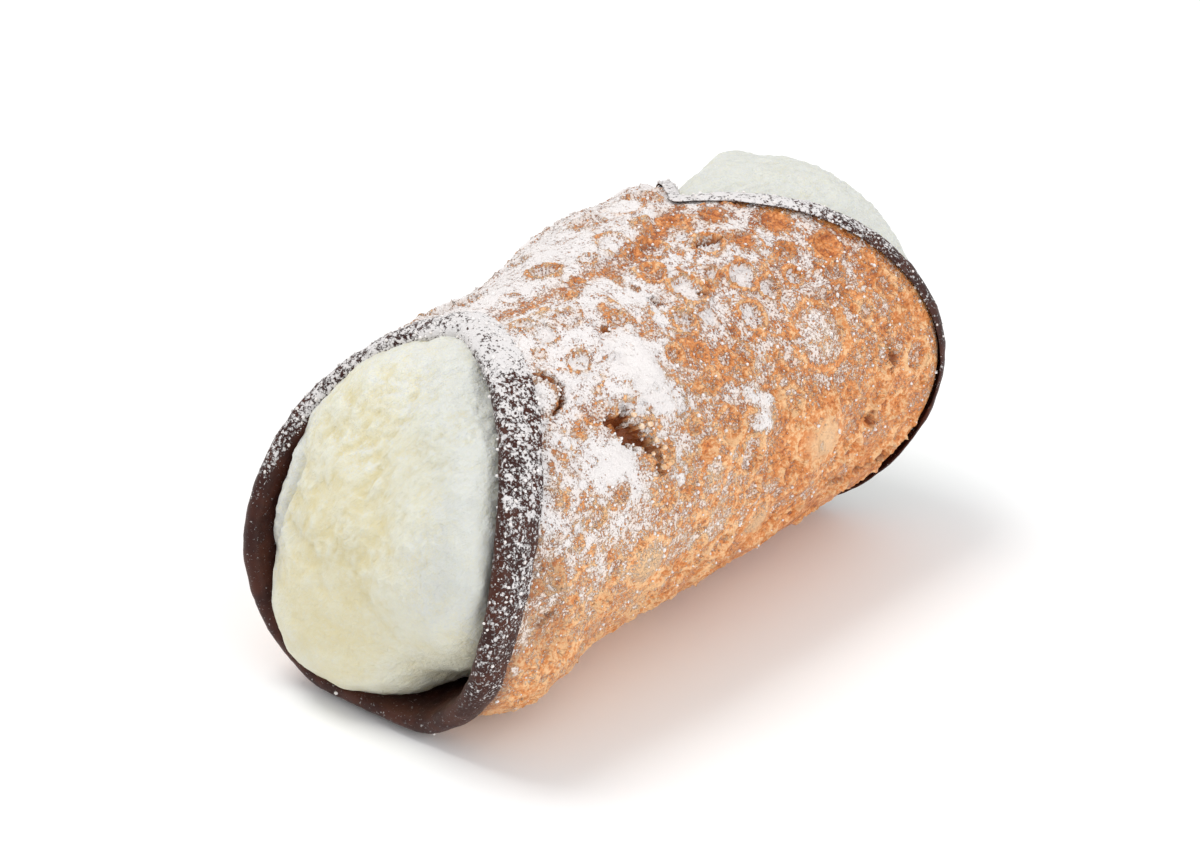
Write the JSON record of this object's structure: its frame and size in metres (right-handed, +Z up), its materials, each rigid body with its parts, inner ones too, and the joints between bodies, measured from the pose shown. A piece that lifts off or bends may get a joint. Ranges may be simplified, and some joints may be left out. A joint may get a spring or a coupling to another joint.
{
  "type": "cannolo",
  "caption": "A filled cannolo: a blistered fried pastry tube with a lapped seam, both mouths edged with dark chocolate, packed with pale ricotta cream that swells out at each end.",
  "frame": {"origin": "On the surface the roll rests on, under the middle of the whole piece", "axes": "+Z is up. The roll lies along Y with its front mouth towards -Y, and its seam is on top."},
  "size_m": [0.0468, 0.0868, 0.0452],
  "materials": {
    "crust": "golden brown fried pastry with blisters, dusted with icing sugar",
    "cream": "sweet ricotta cream, ivory, soft and moist, a little grainy",
    "chocolate": "thin set dark chocolate, satin, speckled with icing sugar"
  },
  "bodies": {
    "root": {"shell": "crust", "cream": "cream", "chocolate_front": "chocolate", "chocolate_back": "chocolate"}
  },
  "joints": []
}
